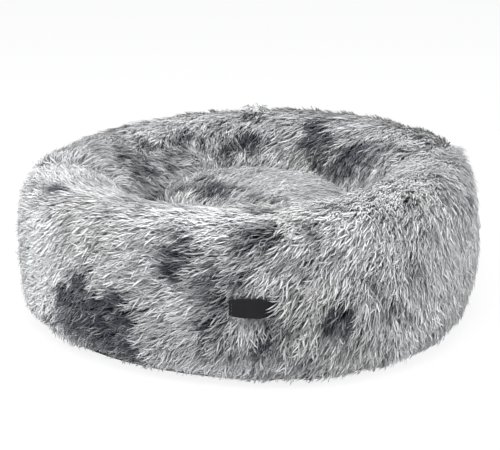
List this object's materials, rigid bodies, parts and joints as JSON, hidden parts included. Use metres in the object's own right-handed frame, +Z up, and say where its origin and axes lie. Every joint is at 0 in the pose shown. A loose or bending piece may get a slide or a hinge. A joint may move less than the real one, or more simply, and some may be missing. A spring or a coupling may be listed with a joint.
{
  "type": "donut pet bed",
  "caption": "Round stuffed pet bed: a tall ring of long-pile plush round a lift-out domed cushion, on a cloth base closed by a zip.",
  "frame": {"origin": "middle of the bed on the floor that it stands on", "axes": "+Z up, -Y towards the front wall with the label, +X to the right of someone who faces the label"},
  "size_m": [0.5971, 0.5984, 0.2033],
  "materials": {
    "ring_plush": "long frosted pile",
    "cushion_plush": "long frosted pile",
    "stuffing": "loose fibre",
    "label_cloth": "fine weave",
    "base_cloth": "coarse weave",
    "binding_tape": "ribbed tape",
    "lining_cloth": "plain weave",
    "zip_plastic": "satin",
    "zip_metal": "satin"
  },
  "bodies": {
    "bed": {"ring_cover_front": "ring_plush", "ring_cover_back": "ring_plush", "ring_filling": "stuffing", "label": "label_cloth", "base_cloth": "base_cloth", "base_binding": "binding_tape", "floor_lining": "lining_cloth", "base_wadding": "stuffing", "zip_tape_front": "zip_plastic", "zip_tape_back": "zip_plastic", "zip_top_stop_front": "zip_metal", "zip_top_stop_back": "zip_metal", "zip_bottom_stop": "zip_metal"},
    "cushion": {"cushion_top_cover": "cushion_plush", "cushion_under_cover": "lining_cloth", "cushion_filling": "stuffing"},
    "slider": {"zip_slider": "zip_metal"},
    "puller": {"zip_puller": "zip_metal"}
  },
  "joints": [
    {"name": "cushion_lift", "type": "slide", "parent": "bed", "child": "cushion", "axis": [0, 0, 1], "range_m": [0, 0.22]},
    {"name": "zip_run", "type": "slide", "parent": "bed", "child": "slider", "axis": [-1, 0, 0], "range_m": [0, 0.197], "deforming": ["zip_tape_front", "zip_tape_back"]},
    {"name": "puller_swing", "type": "hinge", "parent": "slider", "child": "puller", "pos_m": [0.10305, 0, 0.0053], "axis": [0, -1, 0], "range_deg": [0, 165]}
  ]
}
